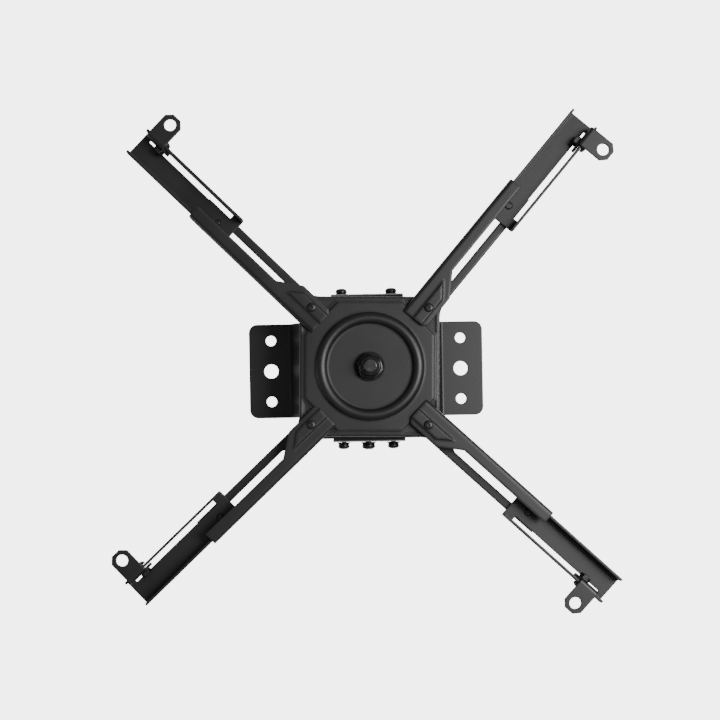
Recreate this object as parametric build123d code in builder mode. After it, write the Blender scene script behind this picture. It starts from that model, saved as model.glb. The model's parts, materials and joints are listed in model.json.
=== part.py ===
from build123d import *
import math
import os

# Ceiling mount for a projector: a hat-shaped ceiling plate, a tilting yoke, a swivelling pressed hub
# and four folded swing legs. Each leg carries a telescopic channel arm with a sliding screw lug.
# Millimetres and degrees. The origin is the middle of the ceiling face, +Z points up to the ceiling
# and the mount hangs below it. Seen from below, X points right and Y points down.

# Fits
run_gap = 0.05         # radial play of a shank that turns or slides in a bore
slip = 0.3             # air between faces that move past each other
hole_play = 0.1        # radial play of a hole in a piece that its screw clamps
overshoot = 1.0        # how far a cutting shape runs past the face it cuts
tiny = 0.01            # how near an edge must be to count as the one looked for

# Ceiling plate
plate_t = 2.0
plate_length = 167.8
wing_width = 67.4
wing_corner = 6.0
wing_fold = 54.0       # middle to the fold of each wing
web_fold = 46.0        # middle to the fold of the lowered web
hat_depth = 16.0       # ceiling face to the web's underside
hat_bend = 2.6
fix_pitch_x = 136.2
fix_pitch_y = 43.8
fix_hole_r = 3.75
key_hole_r = 5.1
ear_top_half = 34.0
ear_top_drop = 4.0
ear_mid_half = 24.0
ear_mid_below = 3.6    # axis to the corner where an ear starts to narrow faster
ear_low_half = 13.0
ear_below_axis = 9.0
ear_bend = 1.6

# Tilt joint
tilt_drop = 24.0       # ceiling face to tilt axis
tilt_limit = 15.0
lock_reach = 17.5      # tilt axis to each lock screw
tilt_pin_r = 2.5
lock_r = 2.0
rivet_head_r = 4.5     # low head of the rear pivot
rivet_head_t = 0.9

# Yoke
yoke_t = 2.0
yoke_span = 103.0      # over both walls
yoke_width = 50.0
yoke_bend = 3.0
yoke_wall_rise = 10.0  # top of a wall above the tilt axis
yoke_corner = 9.0

# Hub
swivel_rest = 1.15     # how far the hub stands turned in its swivel
hub_t = 2.0
hub_half = 48.0
face_half = 44.4
face_step = 1.8
face_cut = 22.5        # leg of the cut corner of the raised face
face_drop = 62.0       # ceiling face to the hub's raised face
press_taper = 22.0
side_half = 33.0       # half length of a straight side
tongue_radius = 19.5
pocket_inset = 2.6
pocket_start = 23.0
pocket_depth = 0.6
bead_outer_r = 37.4
bead_inner_r = 29.0
bead_height = 3.0
skirt_half = 31.0
skirt_bend = 1.4
bush_r = 9.0
sleeve_r = 4.0
bearing_r = 30.0

# Central bolt
swivel_r = 5.0
swivel_head = 6.4
swivel_flats = 16.0
swivel_nut_t = 8.0
swivel_washer_r = 10.0
swivel_washer_t = 1.8
swivel_end = 4.0       # thread that stands out of the nut
swivel_end_bevel = 1.0
swivel_nut_turn = 15   # how the nut's flats stand

# Legs
leg_t = 2.0
pivot_radius = 56.4    # hub centre to each leg pivot
pivot_r = 2.0
pivot_head_r = 3.1
pivot_head_t = 1.4
pivot_nut_t = 3.2
leg_back = 12.0        # pivot to the leg's root end
leg_reach = 103.5      # pivot to the leg's outer end
bar_edge = 12.5        # pivot line to the folded side
thin_edge = 6.8        # pivot line to the open side
bar_width = 9.1
leg_bend = 1.5
root_chamfer = 2.4
slot_centre = -1.9
slot_width = 5.4
slot_start = 24.8
slot_margin = 6.0
lip_side_end = 14.1    # where the lip's slanted edge meets the open side
lip_bar_start = 30.0   # where the lip has narrowed to the bar
wall_start = 7.5
ridge_half = 4.45
ridge_height = 1.6
ridge_tip = 22.0
ridge_side_end = 10.5
ridge_taper = 40.0
ridge_skin = 0.5
cover_play = 0.4       # air between a leg's upper plate and the hub cover

# Telescopic arms
arm_t = 1.8
arm_length = 89.8
arm_height = 13.0
arm_far = 11.5         # pivot line to the outside of the slotted flange
arm_bend = 1.8
arm_lift = 0.5         # air between a leg's lip and the flanges' free edges
clamp_inset = 12.6     # arm's inner end to its clamp screw
clamp_r = 2.5
clamp_washer_r = 5.0
clamp_washer_t = 1.0
clamp_tip = 0.8
web_gap = 3.6          # long gap between the web and the slotted flange
gap_start = 8.0        # arm's inner end to the gap
slot_inset = 5.0       # either end of the arm to the flange's slot, and its outer end to the gap
lug_slot_width = 4.5

# Lugs
lug_t = 2.0
lug_width = 14.5
lug_heel = 4.3         # how far the upstand runs inward past the tab
heel_drop = 1.7        # lug screw's axis down to the heel's lower corner
neck_drop = 5.2        # lug screw's axis down to where the heel meets the tab
lug_tip = 30.3         # pivot line to the tab's tip
lug_hole_line = 23.5   # pivot line to the projector hole
lug_hole_r = 4.0
lug_tip_chamfer = 4.0
lug_bend = 1.8
lug_lift = 0.5         # air between a tab and the flange's free edge
lug_screw_rise = 0.3   # middle of the flange up to the lug screw's axis
lug_screw_inset = 2.1
lug_screw_r = 2.0

# Small fasteners
m4_flats = 7.0
m4_nut_t = 3.2
m4_head_r = 4.0
m4_head_t = 2.8
m5_flats = 8.0
m5_nut_t = 4.0
m5_head_r = 4.6
m5_head_t = 3.2
m4_washer_r = 4.5
m5_washer_r = 5.0
washer_t = 0.9
m4_spring_r = 3.7
m5_spring_r = 4.4
spring_t = 1.2
spring_split = 0.9
spring_slant = 20
head_bevel = 0.55      # share of a round head's height that is bevelled
thread_end = 0.5

# Where each leg stands: corner diagonal, swing off it, arm's inner end and lug hole's inset
corners = {
    "right_rear": (-45.0, -5.8, 78.3, 9.4),
    "right_front": (45.0, -3.3, 79.6, 13.9),
    "left_front": (135.0, 0.6, 76.8, 9.9),
    "left_rear": (225.0, -1.5, 75.4, 9.8),
}

# Levels, down from the ceiling face and then back up from the hub's face
tilt_z = -tilt_drop
web_low = -hat_depth
web_high = web_low + plate_t
face_z = -face_drop
border_z = face_z + face_step
sheet_back = border_z + hub_t
face_back = face_z + hub_t
lip_back = face_z - slip
lip_front = lip_back - leg_t
ridge_front = lip_front - ridge_height
arm_edge = lip_back + arm_lift
web_back = arm_edge + arm_height
web_front = web_back - arm_t
low_front = web_back + slip
low_back = low_front + leg_t
cover_back = low_front - cover_play
cover_front = cover_back - hub_t
yoke_low = low_back + pivot_nut_t + thread_end + 2 * slip
yoke_high = yoke_low + yoke_t
lug_axis = (arm_edge + web_front) / 2 + lug_screw_rise

# Widths that follow from the fits
yoke_face = yoke_span / 2
ear_face = yoke_face - yoke_t - slip
arm_near = bar_edge - leg_t - slip
upstand_face = arm_far - arm_t - slip
upstand_inner = upstand_face - lug_t

os.makedirs("parts", exist_ok=True)


def finish(piece, name):
    """Label a finished piece and write it."""
    piece.part.label = name
    export_step(piece.part, f"parts/{name}.step")


def group(pieces, name):
    """Write like pieces as one node of separate solids."""
    with BuildPart() as together:
        for piece in pieces:
            add(piece.part)
    finish(together, name)


def across(base, along):
    """Plane square to a leg at a distance from its pivot: x runs over its width, y runs up."""
    return Plane(base.from_local_coords((along, 0, 0)), x_dir=base.y_dir, z_dir=base.x_dir)


def facing(point, direction, x_dir):
    """Plane through a point with its normal in the given direction."""
    return Plane(point, x_dir=x_dir, z_dir=direction)


def pan_screw(plane, length, shank_r, head_r, head_t):
    """Screw with a bevelled round head: the head stands on the plane and the shank goes below it."""
    axis = Axis(plane.origin, plane.z_dir)
    with BuildPart(plane) as screw:
        Cylinder(head_r, head_t, align=(Align.CENTER, Align.CENTER, Align.MIN))
        rim = screw.edges().filter_by(GeomType.CIRCLE).sort_by(axis)[-1]
        chamfer(rim, length=head_t * head_bevel, length2=head_t)
        Cylinder(shank_r, length, align=(Align.CENTER, Align.CENTER, Align.MAX))
    return screw


def hex_prism(plane, flats, height, bore=0.0):
    """Hexagon standing on the plane, with a bore for a nut."""
    with BuildPart() as prism:
        with BuildSketch(plane):
            RegularPolygon(flats / 2, 6, major_radius=False)
            if bore:
                Circle(bore, mode=Mode.SUBTRACT)
        extrude(amount=height)
    return prism


def ring(plane, outer, bore, height):
    """Flat washer, bush or sleeve that stands on the plane."""
    with BuildPart() as disc:
        with BuildSketch(plane):
            Circle(outer)
            Circle(bore, mode=Mode.SUBTRACT)
        extrude(amount=height)
    return disc


def split_ring(plane, outer, bore, height):
    """Spring washer: a ring on the plane with a slanted split through one side."""
    with BuildPart() as spring:
        with BuildSketch(plane):
            Circle(outer)
            Circle(bore, mode=Mode.SUBTRACT)
            with Locations((0, (outer + bore) / 2)):
                Rectangle(spring_split, outer, rotation=spring_slant, mode=Mode.SUBTRACT)
        extrude(amount=height)
    return spring


# Ceiling plate: one sheet folded to a hat, with an ear turned down at each end of its web
with BuildPart() as ceiling_plate:
    with BuildSketch(Plane.XZ):
        with BuildLine():
            FilletPolyline(
                (-plate_length / 2, -plate_t / 2), (-wing_fold, -plate_t / 2),
                (-web_fold, web_low + plate_t / 2), (web_fold, web_low + plate_t / 2),
                (wing_fold, -plate_t / 2), (plate_length / 2, -plate_t / 2), radius=hat_bend,
            )
        trace(line_width=plate_t)
    extrude(amount=ear_face, both=True)
    with BuildSketch(Plane.XY):
        RectangleRounded(plate_length, wing_width, wing_corner)
        Rectangle(2 * (web_fold - hat_bend), 2 * ear_face)
    extrude(amount=-hat_depth, mode=Mode.INTERSECT)
    for ear_y in (ear_face, plate_t - ear_face):
        with BuildSketch(facing((0, ear_y, 0), (0, -1, 0), (1, 0, 0))):
            with BuildLine():
                Polyline(
                    (-ear_top_half, web_high), (ear_top_half, web_high),
                    (ear_top_half, web_low - ear_top_drop), (ear_mid_half, tilt_z - ear_mid_below),
                    (ear_low_half, tilt_z - ear_below_axis), (-ear_low_half, tilt_z - ear_below_axis),
                    (-ear_mid_half, tilt_z - ear_mid_below), (-ear_top_half, web_low - ear_top_drop),
                    close=True,
                )
            make_face()
            with Locations((0, tilt_z)):
                Circle(tilt_pin_r + hole_play, mode=Mode.SUBTRACT)
            with Locations((-lock_reach, tilt_z), (lock_reach, tilt_z)):
                Circle(lock_r + hole_play, mode=Mode.SUBTRACT)
        extrude(amount=plate_t)
    top_edges = ceiling_plate.edges().filter_by(Axis.X)
    top_edges = top_edges.filter_by_position(Axis.Z, web_high - tiny, web_high + tiny)
    fillet(top_edges.filter_by(lambda e: abs(abs(e.center().Y) - ear_face) < tiny), radius=ear_bend)
    with BuildSketch(Plane.XY):
        with GridLocations(fix_pitch_x, fix_pitch_y, 2, 2):
            Circle(fix_hole_r)
        with GridLocations(fix_pitch_x, 0, 2, 1):
            Circle(key_hole_r)
    extrude(amount=-plate_t, mode=Mode.SUBTRACT)
finish(ceiling_plate, "ceiling_plate")

# Tilt yoke: a folded U whose walls stand outside the ears, with two arc slots in each wall
with BuildPart() as tilt_yoke:
    wall_mid = yoke_face - yoke_t / 2
    with BuildSketch(Plane.YZ.offset(-yoke_width / 2)):
        with BuildLine():
            FilletPolyline(
                (-wall_mid, tilt_z + yoke_wall_rise), (-wall_mid, yoke_low + yoke_t / 2),
                (wall_mid, yoke_low + yoke_t / 2), (wall_mid, tilt_z + yoke_wall_rise),
                radius=yoke_bend,
            )
        trace(line_width=yoke_t)
    extrude(amount=yoke_width)
    fillet(tilt_yoke.edges().filter_by(Axis.Y).group_by(Axis.Z)[-1], radius=yoke_corner)
    with BuildSketch(Plane.XZ):
        with Locations((0, tilt_z)):
            Circle(tilt_pin_r + run_gap)
        for side_angle in (0, 180):
            with BuildLine() as lock_path:
                CenterArc((0, tilt_z), lock_reach, side_angle - tilt_limit, 2 * tilt_limit)
            SlotArc(lock_path.line.edges()[0], 2 * (lock_r + slip))
    extrude(amount=yoke_face + overshoot, both=True, mode=Mode.SUBTRACT)
    with BuildSketch(Plane.XY.offset(yoke_low)):
        Circle(swivel_r + hole_play)
    extrude(amount=yoke_t, mode=Mode.SUBTRACT)
finish(tilt_yoke, "tilt_yoke")

# Tilt pivot at each wall, and the four lock screws that ride in the yoke's arc slots. Each has a flat
# and a spring washer under its head, apart from the rear pivot, which is a low rivet head.
stack_t = washer_t + spring_t
pivot_screws = []
pivot_nuts = []
lock_screws = []
lock_nuts = []
lock_washers = []
lock_springs = []
for side in (-1, 1):
    outward = (0, side, 0)
    inward = (0, -side, 0)
    washer_y = side * (yoke_face + slip)
    head_y = washer_y + side * stack_t
    nut_y = side * (ear_face - plate_t)
    grip = abs(washer_y) - abs(nut_y)
    if side > 0:
        pivot_head = facing((0, head_y, tilt_z), outward, (1, 0, 0))
        pivot_length = stack_t + grip + m5_nut_t + thread_end
        pivot_screws.append(pan_screw(pivot_head, pivot_length, tilt_pin_r, m5_head_r, m5_head_t))
        washer_plane = facing((0, washer_y, tilt_z), outward, (1, 0, 0))
        finish(ring(washer_plane, m5_washer_r, tilt_pin_r + hole_play, washer_t), "tilt_pivot_washer")
        spring_plane = washer_plane.offset(washer_t)
        finish(split_ring(spring_plane, m5_spring_r, tilt_pin_r + hole_play, spring_t), "tilt_pivot_spring")
    else:
        pivot_head = facing((0, washer_y, tilt_z), outward, (1, 0, 0))
        pivot_length = grip + m5_nut_t + thread_end
        pivot_screws.append(pan_screw(pivot_head, pivot_length, tilt_pin_r, rivet_head_r, rivet_head_t))
    pivot_nut = facing((0, nut_y, tilt_z), inward, (1, 0, 0))
    pivot_nuts.append(hex_prism(pivot_nut, m5_flats, m5_nut_t, tilt_pin_r))
    lock_length = stack_t + grip + m4_nut_t + thread_end
    for lock_x in (-lock_reach, lock_reach):
        lock_head = facing((lock_x, head_y, tilt_z), outward, (1, 0, 0))
        lock_screws.append(pan_screw(lock_head, lock_length, lock_r, m4_head_r, m4_head_t))
        lock_washer = facing((lock_x, washer_y, tilt_z), outward, (1, 0, 0))
        lock_washers.append(ring(lock_washer, m4_washer_r, lock_r + hole_play, washer_t))
        lock_spring = lock_washer.offset(washer_t)
        lock_springs.append(split_ring(lock_spring, m4_spring_r, lock_r + hole_play, spring_t))
        lock_nut = facing((lock_x, nut_y, tilt_z), inward, (1, 0, 0))
        lock_nuts.append(hex_prism(lock_nut, m4_flats, m4_nut_t, lock_r))
group(pivot_screws, "tilt_pivot_screws")
group(pivot_nuts, "tilt_pivot_nuts")
group(lock_screws, "tilt_lock_screws")
group(lock_nuts, "tilt_lock_nuts")
group(lock_washers, "tilt_lock_washers")
group(lock_springs, "tilt_lock_springs")

# Central bolt, with the bearing ring above the hub and the washer and nut below it
hub_plane = Plane.XY.rotated((0, 0, swivel_rest))
bolt_end = face_z - slip - swivel_washer_t - swivel_nut_t - swivel_end
with BuildPart() as swivel_bolt:
    add(hex_prism(Plane.XY.offset(yoke_high), swivel_flats, swivel_head).part)
    with Locations((0, 0, yoke_high)):
        Cylinder(swivel_r, yoke_high - bolt_end, align=(Align.CENTER, Align.CENTER, Align.MAX))
    chamfer(swivel_bolt.edges().filter_by(GeomType.CIRCLE).sort_by(Axis.Z)[0], length=swivel_end_bevel)
finish(swivel_bolt, "swivel_bolt")

swivel_bearing = ring(
    Plane.XY.offset(cover_back + slip), bearing_r, swivel_r + hole_play, yoke_low - cover_back - slip
)
finish(swivel_bearing, "swivel_bearing")

washer_low = face_z - slip - swivel_washer_t
swivel_washer = ring(Plane.XY.offset(washer_low), swivel_washer_r, swivel_r + hole_play, swivel_washer_t)
finish(swivel_washer, "swivel_washer")

nut_plane = Plane.XY.rotated((0, 0, swivel_nut_turn)).offset(washer_low - swivel_nut_t)
swivel_nut = hex_prism(nut_plane, swivel_flats, swivel_nut_t, swivel_r)
finish(swivel_nut, "swivel_nut")


def quarter_turn(point, quarter):
    """Turn a point of the hub's outline by quarters of a turn."""
    x, y = point
    for _ in range(quarter):
        x, y = -y, x
    return (x, y)


# Outline of the hub sheet: straight sides that sweep out in wide curves to a tongue at each corner
half_turn = math.radians(22.5)
curve_start = (hub_half, side_half)
curve_mid = (
    hub_half + tongue_radius * (1 - math.cos(half_turn)), side_half + tongue_radius * math.sin(half_turn)
)
curve_end = (
    hub_half + tongue_radius * (1 - math.cos(2 * half_turn)),
    side_half + tongue_radius * math.sin(2 * half_turn),
)
tongue_half = (curve_end[0] - curve_end[1]) / math.sqrt(2)
tongue_tip = (curve_end[0] + curve_end[1]) / 2 + tongue_half / math.sqrt(2)

# Hub plate: a pressed pan with a raised eight-sided face, a round bead, corner pockets and skirts
with BuildPart() as hub_plate:
    with BuildSketch(hub_plane.offset(border_z)):
        with BuildLine():
            for quarter in range(4):
                Line(quarter_turn((hub_half, -side_half), quarter), quarter_turn(curve_start, quarter))
                ThreePointArc(
                    quarter_turn(curve_start, quarter), quarter_turn(curve_mid, quarter),
                    quarter_turn(curve_end, quarter),
                )
                ThreePointArc(
                    quarter_turn(curve_end, quarter), quarter_turn((tongue_tip, tongue_tip), quarter),
                    quarter_turn(curve_end[::-1], quarter),
                )
                ThreePointArc(
                    quarter_turn(curve_end[::-1], quarter), quarter_turn(curve_mid[::-1], quarter),
                    quarter_turn(curve_start[::-1], quarter),
                )
        make_face()
    extrude(amount=hub_t)
    with BuildSketch(hub_plane.offset(border_z)) as raised_face:
        Rectangle(2 * face_half, 2 * face_half)
        chamfer(raised_face.vertices(), length=face_cut)
    extrude(amount=-face_step, taper=press_taper)
    with BuildSketch(hub_plane.offset(sheet_back)) as press_hollow:
        Rectangle(2 * (face_half - hub_t), 2 * (face_half - hub_t))
        chamfer(press_hollow.vertices(), length=face_cut)
    extrude(amount=-face_step, taper=press_taper, mode=Mode.SUBTRACT)
    with BuildSketch(Plane.XZ):
        with BuildLine():
            bead_mid = (bead_outer_r + bead_inner_r) / 2
            ThreePointArc((bead_outer_r, face_z), (bead_mid, face_z - bead_height), (bead_inner_r, face_z))
            Line((bead_inner_r, face_z), (bead_outer_r, face_z))
        make_face()
    revolve(axis=Axis.Z)
    with BuildSketch(Plane.XZ):
        with BuildLine():
            ThreePointArc(
                (bead_outer_r - hub_t / 2, face_back), (bead_mid, face_back - bead_height),
                (bead_inner_r + hub_t / 2, face_back),
            )
            Line((bead_inner_r + hub_t / 2, face_back), (bead_outer_r - hub_t / 2, face_back))
        make_face()
    revolve(axis=Axis.Z, mode=Mode.SUBTRACT)
    with BuildSketch(hub_plane.offset(border_z)):
        with PolarLocations(hub_half - hub_t / 2, 4):
            Rectangle(hub_t, 2 * skirt_half)
    extrude(amount=cover_front - border_z)
    bottom_edges = hub_plate.edges().filter_by_position(Axis.Z, border_z - tiny, border_z + tiny)
    straight = bottom_edges.filter_by(GeomType.LINE)
    sides = straight.filter_by(lambda e: abs(e.length - 2 * side_half) < tiny)
    fillet(sides, radius=skirt_bend)
    pocket_edge = hub_half - pocket_inset
    with BuildSketch(hub_plane.offset(border_z)):
        for quarter in range(4):
            Polygon(
                quarter_turn((pocket_edge, pocket_start), quarter),
                quarter_turn((pocket_edge, pocket_edge), quarter),
                quarter_turn((pocket_start, pocket_edge), quarter), align=None,
            )
    extrude(amount=pocket_depth, mode=Mode.SUBTRACT)
    with BuildSketch(hub_plane.offset(face_z - bead_height)):
        Circle(swivel_r + hole_play)
        with PolarLocations(pivot_radius, 4, start_angle=45):
            Circle(pivot_r + run_gap)
    extrude(amount=bead_height + face_step + hub_t + overshoot, mode=Mode.SUBTRACT)
finish(hub_plate, "hub_plate")

# Hub cover: the flat sheet that closes the pan, with its corners rounded about the pivots
with BuildPart() as hub_cover:
    with BuildSketch(hub_plane.offset(cover_front)):
        RectangleRounded(2 * hub_half, 2 * hub_half, hub_half - pivot_radius / math.sqrt(2))
        Circle(swivel_r + hole_play, mode=Mode.SUBTRACT)
        with PolarLocations(pivot_radius, 4, start_angle=45):
            Circle(pivot_r + run_gap, mode=Mode.SUBTRACT)
    extrude(amount=hub_t)
finish(hub_cover, "hub_cover")

hub_bush = ring(hub_plane.offset(face_back), bush_r, swivel_r + run_gap, cover_front - face_back)
finish(hub_bush, "hub_bush")

# Sleeves that keep the pan and its cover apart at the leg pivots
with BuildPart() as pivot_sleeves:
    with BuildSketch(hub_plane.offset(sheet_back)):
        with PolarLocations(pivot_radius, 4, start_angle=45):
            Circle(sleeve_r)
            Circle(pivot_r + run_gap, mode=Mode.SUBTRACT)
    extrude(amount=cover_front - sheet_back)
finish(pivot_sleeves, "pivot_sleeves")


def make_leg(base):
    """Folded leg: slotted lower plate, side wall, and a lip that widens at the root round a ridge."""
    wall_line = -bar_edge + leg_t / 2
    bar_free = -bar_edge + bar_width
    with BuildPart() as leg:
        with BuildSketch(across(base, -leg_back)):
            with BuildLine():
                FilletPolyline(
                    (thin_edge + slip, lip_front + leg_t / 2), (wall_line, lip_front + leg_t / 2),
                    (wall_line, low_front + leg_t / 2), (thin_edge, low_front + leg_t / 2),
                    radius=leg_bend,
                )
            trace(line_width=leg_t)
        extrude(amount=leg_back + leg_reach)
        with BuildSketch(base.offset(lip_front)):
            Polygon(
                (lip_side_end, thin_edge + slip), (lip_bar_start, bar_free), (leg_reach, bar_free),
                (leg_reach, thin_edge + overshoot), (lip_side_end, thin_edge + overshoot), align=None,
            )
        extrude(amount=leg_t, mode=Mode.SUBTRACT)
        with BuildSketch(base.offset(lip_back)):
            with Locations((-leg_back, -bar_edge)):
                Rectangle(leg_back + wall_start, leg_t + leg_bend, align=(Align.MIN, Align.MIN))
        extrude(amount=low_front - lip_back, mode=Mode.SUBTRACT)
        with BuildSketch(base.offset(low_front)):
            with Locations(((slot_start + leg_reach - slot_margin) / 2, slot_centre)):
                SlotOverall(leg_reach - slot_margin - slot_start, slot_width)
        extrude(amount=leg_t, mode=Mode.SUBTRACT)
        with BuildSketch(base.offset(lip_front)):
            Polygon(
                (-leg_back - ridge_half, -ridge_half), (ridge_tip, -ridge_half),
                (ridge_side_end, ridge_half), (-leg_back - ridge_half, ridge_half), align=None,
            )
        extrude(amount=-ridge_height, taper=ridge_taper)
        with BuildSketch(base.offset(lip_back)):
            inner_half = ridge_half - ridge_skin
            Polygon(
                (-leg_back - ridge_half, -inner_half), (ridge_tip - 2 * ridge_skin, -inner_half),
                (ridge_side_end - ridge_skin, inner_half), (-leg_back - ridge_half, inner_half), align=None,
            )
        extrude(amount=-ridge_height, taper=ridge_taper, mode=Mode.SUBTRACT)
        with BuildSketch(base.offset(ridge_front)):
            with Locations((-leg_back, 0)):
                Rectangle(2 * ridge_half, 4 * ridge_half, align=(Align.MAX, Align.CENTER))
            Polygon(
                (-leg_back, thin_edge - root_chamfer), (root_chamfer - leg_back, thin_edge + slip),
                (root_chamfer - leg_back, thin_edge + overshoot),
                (-leg_back - overshoot, thin_edge + overshoot), align=None,
            )
            Circle(pivot_r + hole_play)
        extrude(amount=low_back - ridge_front, mode=Mode.SUBTRACT)
    return leg


def make_arm(base, start):
    """Telescopic channel: both flanges point down, and a long gap frees the web from the slotted one."""
    with BuildPart() as arm:
        with BuildSketch(across(base, start)):
            with BuildLine():
                FilletPolyline(
                    (arm_t / 2 - arm_near, arm_edge), (arm_t / 2 - arm_near, web_front + arm_t / 2),
                    (arm_far - arm_t / 2, web_front + arm_t / 2), (arm_far - arm_t / 2, arm_edge),
                    radius=arm_bend,
                )
            trace(line_width=arm_t)
        extrude(amount=arm_length)
        with BuildSketch(base.offset(web_back)):
            with Locations((start + gap_start, arm_far - arm_t)):
                Rectangle(arm_length - gap_start - slot_inset, web_gap, align=(Align.MIN, Align.MAX))
            with Locations((start + clamp_inset, slot_centre)):
                Circle(clamp_r)
        extrude(amount=-arm_t - arm_bend, mode=Mode.SUBTRACT)
        flange = facing(base.from_local_coords((0, arm_far, 0)), base.y_dir, base.x_dir)
        with BuildSketch(flange):
            with Locations((start + arm_length / 2, -lug_axis)):
                SlotOverall(arm_length - 2 * slot_inset, lug_slot_width)
        extrude(amount=-arm_t, mode=Mode.SUBTRACT)
    return arm


def make_lug(base, hole_along):
    """Angle lug: its upstand lies inside the slotted flange and its tab reaches out over the edge."""
    tab_start = hole_along - lug_width / 2
    tab_back = arm_edge - lug_lift
    upstand_mid = upstand_face - lug_t / 2
    with BuildPart() as lug:
        with BuildSketch(across(base, tab_start - lug_heel)):
            with BuildLine():
                FilletPolyline(
                    (upstand_mid, web_front - slip), (upstand_mid, tab_back - lug_t / 2),
                    (lug_tip, tab_back - lug_t / 2), radius=lug_bend,
                )
            trace(line_width=lug_t)
        extrude(amount=lug_heel + lug_width)
        side = facing(base.from_local_coords((0, upstand_inner, 0)), base.y_dir, base.x_dir)
        with BuildSketch(side):
            Polygon(
                (tab_start - lug_heel, heel_drop - lug_axis), (tab_start, neck_drop - lug_axis),
                (tab_start, lug_t + overshoot - tab_back),
                (tab_start - lug_heel, lug_t + overshoot - tab_back), align=None,
            )
        extrude(amount=lug_tip, mode=Mode.SUBTRACT)
        tip_edges = lug.edges().filter_by(Axis.Z).group_by(Axis(base.origin, base.y_dir))[-1]
        chamfer(tip_edges, length=lug_tip_chamfer)
        with BuildSketch(base.offset(tab_back)):
            with Locations((hole_along, lug_hole_line)):
                Circle(lug_hole_r)
        extrude(amount=-lug_t, mode=Mode.SUBTRACT)
        with BuildSketch(side):
            with Locations((tab_start + lug_screw_inset, -lug_axis)):
                Circle(lug_screw_r + hole_play)
        extrude(amount=lug_t, mode=Mode.SUBTRACT)
    return lug


for corner, (diagonal, swing, arm_start, lug_inset) in corners.items():
    pivot_angle = math.radians(diagonal + swivel_rest)
    leg_angle = math.radians(diagonal + swing + swivel_rest)
    base = Plane(
        (pivot_radius * math.cos(pivot_angle), pivot_radius * math.sin(pivot_angle), 0),
        x_dir=(math.cos(leg_angle), math.sin(leg_angle), 0), z_dir=(0, 0, 1),
    )
    down = (0, 0, -1)
    finish(make_leg(base), f"leg_{corner}")
    screw_plane = facing(base.from_local_coords((0, 0, ridge_front)), down, base.x_dir)
    screw_length = low_back + pivot_nut_t + thread_end - ridge_front
    finish(pan_screw(screw_plane, screw_length, pivot_r, pivot_head_r, pivot_head_t), f"pivot_screw_{corner}")
    finish(hex_prism(base.offset(low_back), m4_flats, pivot_nut_t, pivot_r), f"pivot_nut_{corner}")

    finish(make_arm(base, arm_start), f"arm_{corner}")
    clamp_spot = (arm_start + clamp_inset, slot_centre, low_back + slip)
    clamp_plane = facing(base.from_local_coords(clamp_spot), (0, 0, 1), base.x_dir)
    finish(ring(clamp_plane, clamp_washer_r, clamp_r + hole_play, clamp_washer_t), f"clamp_washer_{corner}")
    clamp_length = low_back + slip + clamp_washer_t - web_front + clamp_tip
    finish(
        pan_screw(clamp_plane.offset(clamp_washer_t), clamp_length, clamp_r, m5_head_r, m5_head_t),
        f"clamp_screw_{corner}",
    )

    hole_along = arm_start + arm_length - lug_inset
    finish(make_lug(base, hole_along), f"lug_{corner}")
    lug_screw_along = hole_along - lug_width / 2 + lug_screw_inset
    lug_head_spot = base.from_local_coords((lug_screw_along, arm_far + slip, lug_axis))
    lug_head = facing(lug_head_spot, base.y_dir, base.x_dir)
    lug_length = arm_far + slip - upstand_inner + m4_nut_t + thread_end
    finish(pan_screw(lug_head, lug_length, lug_screw_r, m4_head_r, m4_head_t), f"lug_screw_{corner}")
    lug_nut_spot = base.from_local_coords((lug_screw_along, upstand_inner, lug_axis))
    lug_nut = hex_prism(facing(lug_nut_spot, -base.y_dir, base.x_dir), m4_flats, m4_nut_t, lug_screw_r)
    finish(lug_nut, f"lug_nut_{corner}")
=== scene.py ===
import json
import math

import bmesh
import bpy
from mathutils import Matrix, Vector


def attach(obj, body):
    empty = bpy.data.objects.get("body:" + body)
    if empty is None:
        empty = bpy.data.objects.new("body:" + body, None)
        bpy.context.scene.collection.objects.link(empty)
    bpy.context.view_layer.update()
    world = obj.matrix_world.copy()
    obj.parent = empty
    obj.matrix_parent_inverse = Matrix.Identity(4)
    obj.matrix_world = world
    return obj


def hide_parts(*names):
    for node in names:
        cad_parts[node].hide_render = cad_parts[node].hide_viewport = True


# Looks of a black projector ceiling mount. Metres, in the frame of the model: the ceiling face is at
# z = 0, the mount hangs below it and the camera looks up at it.

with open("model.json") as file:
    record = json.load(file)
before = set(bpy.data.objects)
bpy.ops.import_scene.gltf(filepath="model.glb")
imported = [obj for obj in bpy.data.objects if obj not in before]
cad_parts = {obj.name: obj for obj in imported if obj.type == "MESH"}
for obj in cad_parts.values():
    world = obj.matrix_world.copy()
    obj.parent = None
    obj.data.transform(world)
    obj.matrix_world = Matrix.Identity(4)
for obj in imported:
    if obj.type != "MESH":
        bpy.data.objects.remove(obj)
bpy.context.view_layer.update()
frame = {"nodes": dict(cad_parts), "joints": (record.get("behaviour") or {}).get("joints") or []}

# Camera
image_size = 720
sensor_width = 36.0
near_clip = 0.05
hub_face_drop = 0.062          # ceiling to hub face
camera_drop = 1.095            # hub face to camera
camera_right = -0.0480         # camera's place off the hub's axis, along the photo's right and down
camera_down = 0.0440
camera_turn = 1.0              # degrees that the photo's right is turned from X
hub_pixel = (369.7, 366.4)     # where the hub's centre is in the photo
pixels_per_metre = 1466.0      # at the hub's face

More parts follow.
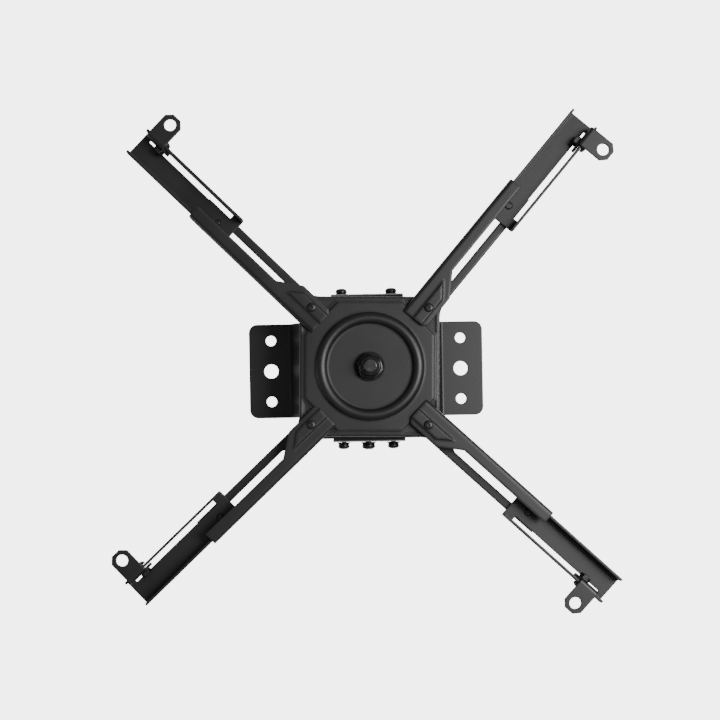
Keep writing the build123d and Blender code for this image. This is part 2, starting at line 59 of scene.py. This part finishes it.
# Room and lights
floor_drop = 2.4
floor_half = 6.0
backdrop_strength = 5.0        # pale surroundings as the camera sees them
fill_strength = 0.25           # the same surroundings as a light
aim = (0, 0, -0.05)
lights = (                     # name, place, width, height and power
    ("key", (0.74, -0.06, -1.15), 0.4, 0.8, 21.5),
    ("left", (-1.3, 0.3, 0.45), 0.8, 1.2, 8.0),
    ("rear", (-0.2, -1.25, 0.8), 1.2, 0.8, 10.0),
    ("front", (0.3, 1.25, 0.8), 1.2, 0.8, 10.0),
    ("top", (0.9, -0.4, 1.3), 1.0, 1.0, 16.0),
)

# Materials
mask_samples = 6
noise_low = 0.3                # most of a noise's values lie between these
noise_high = 0.7
edge_full = 0.86               # cosine between the rounded and the true normal at a sharp edge
edge_none = 0.995              # the same where the edge ends
crevice_full = 0.35            # openness of a narrow crevice
crevice_none = 0.85            # openness where the crevice ends
crevice_reach = 0.004

# Fasteners
weld = 1e-5                    # corners nearer than this are one
corners_of_square = ((-1, -1), (1, -1), (1, 1), (-1, 1))
sharp_angle = math.radians(32)
screw_segments = 40
nut_segments = 72
first_turn = 20                # degrees that a node's first screw is turned, and the step to its next one
turn_step = 33
pitches = {"m4": 0.0007, "m5": 0.0008, "m10": 0.0015}
rows_per_turn = 8
thread_share = 0.58            # thread depth as a share of its pitch
crest_peak = 1.15              # thread's outline before it is cut flat at 1, and how steeply it falls
crest_slope = 1.6
lead_in = 0.75                 # bevelled end of a thread, in pitches
dome_rows = 7
dome_power = 0.8               # below 1 makes a dome fuller than an ellipse
rim_share = 0.28               # straight part of a round head's side, as a share of its height
recess_width = 0.24            # cross recess: its width, reach and depth as shares of the head's radius
recess_reach = 0.62
recess_depth = 0.42
recess_floor = 0.45            # how far the recess has narrowed at its bottom
nut_bevel = math.radians(30)   # slope of the turned corners of nuts and of the bolt's head
nut_face = 0.97                # flat face of a nut or bolt head, as a share of the flats' circle
nut_mouth = 1.06               # bevelled mouth of a nut's bore, as a share of the bore
bolt_foot = 0.96               # rings on the bolt head's two faces, as shares of the flats' circle
bolt_top = 0.93
bolt_middle = 0.5
collar_start = 0.62            # where the lock nut's round collar starts, as a share of its height
collar_line = (                # collar's radius as a share of the flats' circle, and level as a share of it
    (0.91, 0.0), (0.91, 0.45), (0.885, 0.72), (0.84, 0.92),
    (0.79, 1.0), (0.75, 1.0), (0.73, 0.9), (0.72, 0.72),
)


def rgb(red, green, blue):
    """Colour with full alpha."""
    return (red, green, blue, 1.0)


def grey(level):
    """Grey with full alpha."""
    return rgb(level, level, level)


def new_material(name):
    """Material with its shader and output, and nothing else in its node tree."""
    material = bpy.data.materials.new(name)
    material.use_nodes = True
    nodes = material.node_tree.nodes
    nodes.clear()
    shader = nodes.new("ShaderNodeBsdfPrincipled")
    output = nodes.new("ShaderNodeOutputMaterial")
    material.node_tree.links.new(shader.outputs["BSDF"], output.inputs["Surface"])
    return material, shader


def noise(material, scale, detail=3.0, stretch=(1, 1, 1)):
    """Noise in object space, stretched for turned marks."""
    nodes, links = material.node_tree.nodes, material.node_tree.links
    place = nodes.new("ShaderNodeTexCoord")
    mapping = nodes.new("ShaderNodeMapping")
    mapping.inputs["Scale"].default_value = stretch
    texture = nodes.new("ShaderNodeTexNoise")
    texture.inputs["Scale"].default_value = scale
    texture.inputs["Detail"].default_value = detail
    links.new(place.outputs["Object"], mapping.inputs["Vector"])
    links.new(mapping.outputs["Vector"], texture.inputs["Vector"])
    return texture.outputs["Fac"]


def ramp(material, source, low, high):
    """Colour that goes from low to high with a noise."""
    node = material.node_tree.nodes.new("ShaderNodeValToRGB")
    elements = node.color_ramp.elements
    elements[0].position = noise_low
    elements[0].color = low
    elements[1].position = noise_high
    elements[1].color = high
    material.node_tree.links.new(source, node.inputs["Fac"])
    return node.outputs["Color"]


def remap(material, source, low, high, from_low=noise_low, from_high=noise_high):
    """Value brought to a new range."""
    node = material.node_tree.nodes.new("ShaderNodeMapRange")
    node.inputs["From Min"].default_value = from_low
    node.inputs["From Max"].default_value = from_high
    node.inputs["To Min"].default_value = low
    node.inputs["To Max"].default_value = high
    material.node_tree.links.new(source, node.inputs["Value"])
    return node.outputs["Result"]


def edge_mask(material, radius):
    """Rounded normal, and a mask that is white where it differs from the true one: at edges and bends."""
    nodes, links = material.node_tree.nodes, material.node_tree.links
    rounded = nodes.new("ShaderNodeBevel")
    rounded.samples = mask_samples
    rounded.inputs["Radius"].default_value = radius
    plain = nodes.new("ShaderNodeNewGeometry")
    dot = nodes.new("ShaderNodeVectorMath")
    dot.operation = "DOT_PRODUCT"
    links.new(rounded.outputs["Normal"], dot.inputs[0])
    links.new(plain.outputs["Normal"], dot.inputs[1])
    return rounded.outputs["Normal"], remap(material, dot.outputs["Value"], 1.0, 0.0, edge_full, edge_none)


def crevice_mask(material):
    """White on open faces, darker where other metal is near."""
    node = material.node_tree.nodes.new("ShaderNodeAmbientOcclusion")
    node.samples = mask_samples
    node.inputs["Distance"].default_value = crevice_reach
    return node.outputs["AO"]


def bump(material, source, strength, distance, normal=None):
    """Bump from a height."""
    node = material.node_tree.nodes.new("ShaderNodeBump")
    node.inputs["Strength"].default_value = strength
    node.inputs["Distance"].default_value = distance
    material.node_tree.links.new(source, node.inputs["Height"])
    if normal is not None:
        material.node_tree.links.new(normal, node.inputs["Normal"])
    return node.outputs["Normal"]


def paint_edge_highlight(material, edges, base, highlight_colour):
    """Base colour that gives way at the edges to a paler colour: a painted highlight."""
    node = material.node_tree.nodes.new("ShaderNodeMix")
    node.data_type = "RGBA"
    node.inputs["B"].default_value = highlight_colour
    material.node_tree.links.new(edges, node.inputs["Factor"])
    material.node_tree.links.new(base, node.inputs["A"])
    return node.outputs["Result"]


def times(material, first, second):
    """Product of two values."""
    node = material.node_tree.nodes.new("ShaderNodeMath")
    node.operation = "MULTIPLY"
    material.node_tree.links.new(first, node.inputs[0])
    material.node_tree.links.new(second, node.inputs[1])
    return node.outputs["Value"]


def powder_coat(name, rounding):
    """Satin black powder coat: orange peel, faint clouds, a painted highlight on edges and bends, and
    crevices that are more matt.
    """
    material, shader = new_material(name)
    links = material.node_tree.links
    rounded, edges = edge_mask(material, rounding)
    cloud = noise(material, scale=28.0)
    base = ramp(material, cloud, rgb(0.0060, 0.0060, 0.0063), rgb(0.0100, 0.0100, 0.0105))
    # Edges and bends take a paler colour: a painted highlight.
    links.new(paint_edge_highlight(material, edges, base, rgb(0.045, 0.045, 0.046)), shader.inputs["Base Color"])
    peel = noise(material, scale=1100.0, detail=2.0)
    grain = noise(material, scale=5200.0, detail=1.0)
    peeled = bump(material, peel, strength=0.22, distance=0.00010, normal=rounded)
    links.new(bump(material, grain, strength=0.10, distance=0.00003, normal=peeled), shader.inputs["Normal"])
    open_roughness = remap(material, cloud, low=0.36, high=0.43)
    dulled = remap(material, crevice_mask(material), 1.9, 1.0, crevice_full, crevice_none)
    links.new(times(material, open_roughness, dulled), shader.inputs["Roughness"])
    shader.inputs["IOR"].default_value = 1.5
    shader.inputs["Specular IOR Level"].default_value = 0.40
    return material


def black_zinc(name, gloss, low, high, edge):
    """Black plated steel with turned marks and a painted highlight on its edges."""
    material, shader = new_material(name)
    links = material.node_tree.links
    rounded, edges = edge_mask(material, 0.00025)
    base = ramp(material, noise(material, scale=260.0), grey(low), grey(high))
    # Edges take the paler edge colour: a painted highlight.
    links.new(paint_edge_highlight(material, edges, base, grey(edge)), shader.inputs["Base Color"])
    marks = noise(material, scale=2400.0, detail=2.0, stretch=(1, 1, 4))
    links.new(bump(material, marks, strength=0.16, distance=0.00004, normal=rounded), shader.inputs["Normal"])
    links.new(remap(material, marks, gloss - 0.05, gloss + 0.08), shader.inputs["Roughness"])
    shader.inputs["Metallic"].default_value = 0.85
    return material


def black_nylon(name):
    """Moulded black nylon with a fine matt grain."""
    material, shader = new_material(name)
    links = material.node_tree.links
    base = ramp(material, noise(material, scale=60.0), grey(0.013), grey(0.020))
    links.new(base, shader.inputs["Base Color"])
    grain = noise(material, scale=3400.0, detail=2.0)
    links.new(bump(material, grain, strength=0.30, distance=0.00006), shader.inputs["Normal"])
    links.new(remap(material, grain, low=0.50, high=0.64), shader.inputs["Roughness"])
    return material


def pale_floor(name):
    """Plain pale floor with the faintest variation."""
    material, shader = new_material(name)
    links = material.node_tree.links
    cloud = noise(material, scale=1.2)
    links.new(ramp(material, cloud, grey(0.79), grey(0.83)), shader.inputs["Base Color"])
    links.new(remap(material, cloud, low=0.65, high=0.75), shader.inputs["Roughness"])
    return material


coat = powder_coat("powder_coat_black", rounding=0.0010)
pressed_coat = powder_coat("powder_coat_pressed", rounding=0.0022)
# The last number of each plating is the colour of its edges, which is a painted highlight, brightest on the
# bolt and nut.
plating = black_zinc("black_zinc", gloss=0.32, low=0.022, high=0.040, edge=0.13)
dull_plating = black_zinc("black_zinc_dull", gloss=0.40, low=0.026, high=0.040, edge=0.08)
bolt_plating = black_zinc("black_zinc_bolt", gloss=0.26, low=0.042, high=0.080, edge=0.34)
nut_plating = black_zinc("black_zinc_nut", gloss=0.28, low=0.016, high=0.032, edge=0.26)
ring_plating = black_zinc("black_zinc_ring", gloss=0.45, low=0.007, high=0.012, edge=0.014)
nylon = black_nylon("black_nylon")


def finish_of(node):
    """Material of a CAD node and of the detailed piece in its place."""
    if node in ("swivel_bearing", "hub_bush"):
        return nylon
    if node == "swivel_bolt":
        return bolt_plating
    if node == "swivel_nut":
        return nut_plating
    if node.startswith("pivot_screw"):
        return dull_plating
    if "washer" in node or "spring" in node:
        return ring_plating
    if "screw" in node or "nut" in node:
        return plating
    if node == "hub_plate" or node.startswith("leg_"):
        return pressed_coat
    return coat


for node in frame["nodes"]:
    slots = frame["nodes"][node].data.materials
    slots.clear()
    slots.append(finish_of(node))


def rounded_middle(points):
    """Mean of points, rounded so that it sorts the same way each time."""
    return [round(sum(values) / len(points), 4) for values in zip(*points)]


def solids_of(node):
    """Corner points of each separate solid in a CAD node, in a fixed order."""
    shape = bmesh.new()
    shape.from_mesh(frame["nodes"][node].data)
    bmesh.ops.remove_doubles(shape, verts=shape.verts, dist=weld)
    left = set(shape.verts)
    groups = []
    for first in shape.verts:
        if first not in left:
            continue
        left.discard(first)
        stack, group = [first], []
        while stack:
            vert = stack.pop()
            group.append(vert.co.copy())
            for edge in vert.link_edges:
                other = edge.other_vert(vert)
                if other in left:
                    left.discard(other)
                    stack.append(other)
        groups.append(group)
    shape.free()
    return sorted(groups, key=rounded_middle)


class Turned:
    """A CAD solid round an axis, which points from the shank's end to the head, or out of a nut's face."""

    def __init__(self, points, axis):
        self.axis = Vector(axis).normalized()
        helper = Vector((0, 0, 1)) if abs(self.axis.z) < 0.5 else Vector((1, 0, 0))
        self.side = helper.cross(self.axis).normalized()
        self.up = self.axis.cross(self.side)
        self.line = self.side * self.middle_of(points, self.side) + self.up * self.middle_of(points, self.up)
        along = [point.dot(self.axis) for point in points]
        radii = [self.off_axis(point).length for point in points]
        self.low = min(along)
        self.high = max(along)
        self.bore_r = min(radii)
        self.head_r = max(radii)
        self.flat_r = self.head_r * math.cos(math.pi / 6)
        self.shank_r = max(radius for radius, level in zip(radii, along) if level < self.low + weld)
        self.base = min(level for radius, level in zip(radii, along) if radius > self.head_r - weld)

    @staticmethod
    def middle_of(points, direction):
        """Middle of the points' spread along a direction."""
        values = [point.dot(direction) for point in points]
        return (min(values) + max(values)) / 2

    def off_axis(self, point):
        """Vector from the axis to a point."""
        return point - self.line - self.axis * point.dot(self.axis)

    def matrix(self, level, turn=0.0):
        """Where a local shape stands, with its Z along the axis and its origin at a level of it."""
        place = Matrix((self.side, self.up, self.axis)).transposed().to_4x4()
        return Matrix.Translation(self.line + self.axis * level) @ place @ Matrix.Rotation(turn, 4, "Z")


def circle(radius, height):
    """Row of a turned shape: the same radius all round."""
    return lambda angle: (radius, height)


def thread(radius, pitch, height, limit):
    """Row of a turned shape across a helical thread, held inside a limit at a bevelled end."""
    def row(angle):
        share = (height / pitch - angle / (2 * math.pi)) % 1.0
        crest = min(1.0, max(0.0, crest_peak - crest_slope * abs(2 * share - 1)))
        out = radius - thread_share * pitch * (1 - crest)
        return (min(out, limit), height)
    return row


def hexagon(flat, height, sink=0, cone=1.0):
    """Row round a hexagon. Its corners are turned off by a cone from a share of the flats' circle outward.

    They rise from the height where sink is 1, fall from it where sink is -1 and stay sharp where it is 0.
    """
    def row(angle):
        out = flat / math.cos((angle % (math.pi / 3)) - math.pi / 6)
        return (out, height + sink * max(0.0, out - flat * cone) * math.tan(nut_bevel))
    return row


def mesh_from(shape, name):
    """Mesh of a shape, which is freed."""
    mesh = bpy.data.meshes.new(name)
    shape.to_mesh(mesh)
    shape.free()
    return mesh


def stand(name, data):
    """New object in the scene."""
    thing = bpy.data.objects.new(name, data)
    bpy.context.scene.collection.objects.link(thing)
    return thing


def join_rings(shape, lower, upper):
    """Faces between two rings of corners."""
    for index in range(len(lower)):
        after = (index + 1) % len(lower)
        shape.faces.new((lower[index], lower[after], upper[after], upper[index]))


def turned_mesh(name, rows, segments, bored=False):
    """Closed mesh of rows round the Z axis. A bored shape joins its last row to its first."""
    shape = bmesh.new()
    rings = []
    for row in rows:
        ring = []
        for index in range(segments):
            angle = 2 * math.pi * index / segments
            radius, height = row(angle)
            ring.append(shape.verts.new((radius * math.cos(angle), radius * math.sin(angle), height)))
        rings.append(ring)
    for lower, upper in zip(rings, rings[1:]):
        join_rings(shape, lower, upper)
    if bored:
        join_rings(shape, rings[-1], rings[0])
    else:
        shape.faces.new(rings[0][::-1])
        shape.faces.new(rings[-1])
    bmesh.ops.recalc_face_normals(shape, faces=shape.faces)
    return mesh_from(shape, name)


def shank_rows(radius, pitch, low):
    """Rows of a threaded shank, from its bevelled free end at low to the underside of the head at zero."""
    high = -pitch / 2
    steps = max(2, round((high - low) / pitch * rows_per_turn))
    rows = []
    for step in range(steps + 1):
        height = low + (high - low) * step / steps
        rows.append(thread(radius, pitch, height, radius - lead_in * pitch + (height - low)))
    rows.append(circle(radius, 0))
    return rows


def round_head_rows(radius, height):
    """Rows of a pan head that stands on height zero."""
    rim = rim_share * height
    rows = [circle(radius, 0), circle(radius, rim)]
    for step in range(1, dome_rows + 1):
        angle = math.pi / 2 * step / (dome_rows + 1)
        rows.append(circle(radius * math.cos(angle) ** dome_power, rim + (height - rim) * math.sin(angle)))
    return rows


def cross_cutter(radius, height):
    """Two crossed blades that narrow downward, for a cross recess."""
    half = recess_width * radius / 2
    reach = recess_reach * radius
    depth = recess_depth * radius
    blades = []
    for quarter in range(2):
        shape = bmesh.new()
        rings = []
        for level, share in ((height - depth, recess_floor), (height + depth, 1.0)):
            places = [(x * reach * share, y * half, level) for x, y in corners_of_square]
            rings.append([shape.verts.new(point) for point in places])
        shape.faces.new(rings[0][::-1])
        shape.faces.new(rings[1])
        join_rings(shape, rings[0], rings[1])
        turn = Matrix.Rotation(quarter * math.pi / 2, 3, "Z")
        bmesh.ops.rotate(shape, verts=shape.verts, cent=(0, 0, 0), matrix=turn)
        blades.append(mesh_from(shape, "blade"))
    return blades


def cut(mesh, cutters):
    """Mesh with the cutters taken out of it."""
    body = stand("body", mesh)
    tools = []
    for cutter in cutters:
        tool = stand("cutter", cutter)
        modifier = body.modifiers.new("cut", "BOOLEAN")
        modifier.operation = "DIFFERENCE"
        modifier.solver = "EXACT"
        modifier.object = tool
        tools.append(tool)
    bpy.context.view_layer.update()
    evaluated = body.evaluated_get(bpy.context.evaluated_depsgraph_get())
    result = bpy.data.meshes.new_from_object(evaluated)
    for helper in [body] + tools:
        bpy.data.objects.remove(helper)
    return result


screw_kinds = {}


def screw_mesh(shank_r, head_r, head_t, length, pitch, crossed):
    """Round-headed screw with its head on height zero and its threaded shank below, made once a kind."""
    key = tuple(round(value, 5) for value in (shank_r, head_r, head_t, length)) + (crossed,)
    if key not in screw_kinds:
        rows = shank_rows(shank_r, pitch, -length) + round_head_rows(head_r, head_t)
        mesh = turned_mesh("screw", rows, screw_segments)
        screw_kinds[key] = cut(mesh, cross_cutter(head_r, head_t)) if crossed else mesh
    return screw_kinds[key].copy()


def nut_foot_rows(flat, bore):
    """Rows from a nut's bore over its bevelled mouth and lower face to the turned corners, on height zero."""
    mouth = bore * nut_mouth
    rows = [circle(bore, mouth - bore), circle(mouth, 0), circle(flat * nut_face, 0)]
    rows.append(hexagon(flat, 0, sink=1))
    return rows


def nut_mesh(flat, height, bore):
    """Hexagon nut with turned corners and a bevelled bore, standing on height zero."""
    mouth = bore * nut_mouth
    rows = nut_foot_rows(flat, bore)
    rows += [hexagon(flat, height, sink=-1), circle(flat * nut_face, height)]
    rows += [circle(mouth, height), circle(bore, height - (mouth - bore))]
    return turned_mesh("nut", rows, nut_segments, bored=True)


def lock_nut_mesh(flat, height, bore):
    """Hexagon nut with a crimped round collar over a locking ring, standing on height zero."""
    body = collar_start * height
    rows = nut_foot_rows(flat, bore) + [hexagon(flat, body, sink=-1, cone=nut_face)]
    rows += [circle(flat * radius, body + (height - body) * level) for radius, level in collar_line]
    rows.append(circle(bore, body + (height - body) * collar_line[-1][1]))
    return turned_mesh("lock_nut", rows, nut_segments, bored=True)


def place(name, mesh, matrix, node, body):
    """Stand a detailed piece where its CAD node is, on that node's body."""
    mesh.materials.clear()
    mesh.materials.append(finish_of(node))
    mesh.shade_smooth()
    mesh.set_sharp_from_angle(angle=sharp_angle)
    piece = stand(name, mesh)
    piece.matrix_world = matrix
    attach(piece, body)
    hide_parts(node)


def add_screws(node, body, size, axis_of, rivets=()):
    """Detailed screws in place of a node's plain ones. Those in rivets get no cross recess."""
    for index, points in enumerate(solids_of(node)):
        solid = Turned(points, axis_of(points))
        head_t = solid.high - solid.base
        length = solid.base - solid.low
        mesh = screw_mesh(solid.shank_r, solid.head_r, head_t, length, pitches[size], index not in rivets)
        matrix = solid.matrix(solid.base, math.radians(first_turn + turn_step * index))
        place(f"{node}_detail_{index}", mesh, matrix, node, body)


def add_nuts(node, body, axis_of, make=nut_mesh):
    """Detailed nuts in place of a node's plain ones, with their corners where the plain ones have them."""
    for index, points in enumerate(solids_of(node)):
        solid = Turned(points, axis_of(points))
        corner = max((solid.off_axis(point) for point in points), key=lambda offset: offset.length)
        turn = math.atan2(corner.dot(solid.up), corner.dot(solid.side))
        mesh = make(solid.flat_r, solid.high - solid.low, solid.bore_r)
        place(f"{node}_detail_{index}", mesh, solid.matrix(solid.low, turn), node, body)


def outward_y(points):
    """Axis of a fastener at the yoke's walls, out of the mount."""
    return (0, math.copysign(1, sum(point.y for point in points)), 0)


def fixed(direction):
    """Axis that is the same for every solid of a node."""
    return lambda points: direction


def add_swivel_bolt():
    """Central bolt: hexagon head with turned corners over a threaded shank."""
    node = "swivel_bolt"
    solid = Turned(solids_of(node)[0], (0, 0, 1))
    nut = Turned(solids_of("swivel_nut")[0], (0, 0, 1))
    flat = solid.flat_r
    head_t = solid.high - solid.base
    rows = shank_rows(nut.bore_r, pitches["m10"], solid.low - solid.base)
    rows += [circle(flat * bolt_foot, 0), hexagon(flat, 0), hexagon(flat, head_t, sink=-1, cone=nut_face)]
    rows += [circle(flat * bolt_top, head_t), circle(flat * bolt_middle, head_t)]
    place(f"{node}_detail", turned_mesh(node, rows, nut_segments), solid.matrix(solid.base), node, "yoke")


add_screws("tilt_lock_screws", "ceiling", "m4", outward_y)
add_screws("tilt_pivot_screws", "ceiling", "m5", outward_y, rivets=(0,))
add_nuts("tilt_lock_nuts", "ceiling", outward_y)
add_nuts("tilt_pivot_nuts", "ceiling", outward_y)
add_swivel_bolt()
add_nuts("swivel_nut", "yoke", fixed((0, 0, -1)), lock_nut_mesh)
axes = {joint["name"]: joint["axis"] for joint in frame["joints"]}
for corner in ("right_rear", "right_front", "left_front", "left_rear"):
    along = axes[f"lug_slide_{corner}"]
    open_side = fixed((-along[1], along[0], 0))
    add_screws(f"pivot_screw_{corner}", f"leg_{corner}", "m4", fixed((0, 0, -1)))
    add_nuts(f"pivot_nut_{corner}", f"leg_{corner}", fixed((0, 0, 1)))
    add_screws(f"clamp_screw_{corner}", f"arm_{corner}", "m5", fixed((0, 0, 1)))
    add_screws(f"lug_screw_{corner}", f"lug_{corner}", "m4", open_side)
    add_nuts(f"lug_nut_{corner}", f"lug_{corner}", open_side)


def add_floor():
    """Pale floor of the room, far below the mount."""
    shape = bmesh.new()
    places = [(x * floor_half, y * floor_half, -floor_drop) for x, y in corners_of_square]
    shape.faces.new([shape.verts.new(point) for point in places])
    floor = stand("floor", mesh_from(shape, "floor"))
    floor.data.materials.append(pale_floor("floor_pale"))


def add_camera():
    """Camera below the mount, square to it, at the photograph's place and scale."""
    turn = math.radians(camera_turn)
    right = Vector((math.cos(turn), math.sin(turn), 0))
    down = Vector((-math.sin(turn), math.cos(turn), 0))
    lens = right * camera_right + down * camera_down + Vector((0, 0, -hub_face_drop - camera_drop))
    # The picture is shifted so that the hub comes where the photo has it. This is the lens axis's pixel
    axis_x = hub_pixel[0] + camera_right * pixels_per_metre
    axis_y = hub_pixel[1] + camera_down * pixels_per_metre
    data = bpy.data.cameras.new("camera")
    data.sensor_width = sensor_width
    data.lens = pixels_per_metre * camera_drop * sensor_width / image_size
    data.shift_x = 0.5 - axis_x / image_size
    data.shift_y = axis_y / image_size - 0.5
    data.clip_start = near_clip
    camera = stand("camera", data)
    facing = Matrix((right, -down, (0, 0, -1))).transposed().to_4x4()
    camera.matrix_world = Matrix.Translation(lens) @ facing
    bpy.context.scene.camera = camera


def add_light(name, location, width, height, power):
    """Soft rectangular light aimed at the mount."""
    data = bpy.data.lights.new(name, "AREA")
    data.shape = "RECTANGLE"
    data.size = width
    data.size_y = height
    data.energy = power
    light = stand(name, data)
    light.location = location
    light.rotation_euler = (Vector(aim) - Vector(location)).to_track_quat("-Z", "Y").to_euler()


def add_world():
    """White paper all round as it is seen, and a weak even fill as a light."""
    world = bpy.data.worlds.new("studio")
    bpy.context.scene.world = world
    world.use_nodes = True
    nodes, links = world.node_tree.nodes, world.node_tree.links
    background = nodes["Background"]
    background.inputs["Color"].default_value = grey(1.0)
    path = nodes.new("ShaderNodeLightPath")
    level = nodes.new("ShaderNodeMapRange")
    level.inputs["To Min"].default_value = fill_strength
    level.inputs["To Max"].default_value = backdrop_strength
    links.new(path.outputs["Is Camera Ray"], level.inputs["Value"])
    links.new(level.outputs["Result"], background.inputs["Strength"])


add_floor()
add_camera()
add_world()
for light in lights:
    add_light(*light)
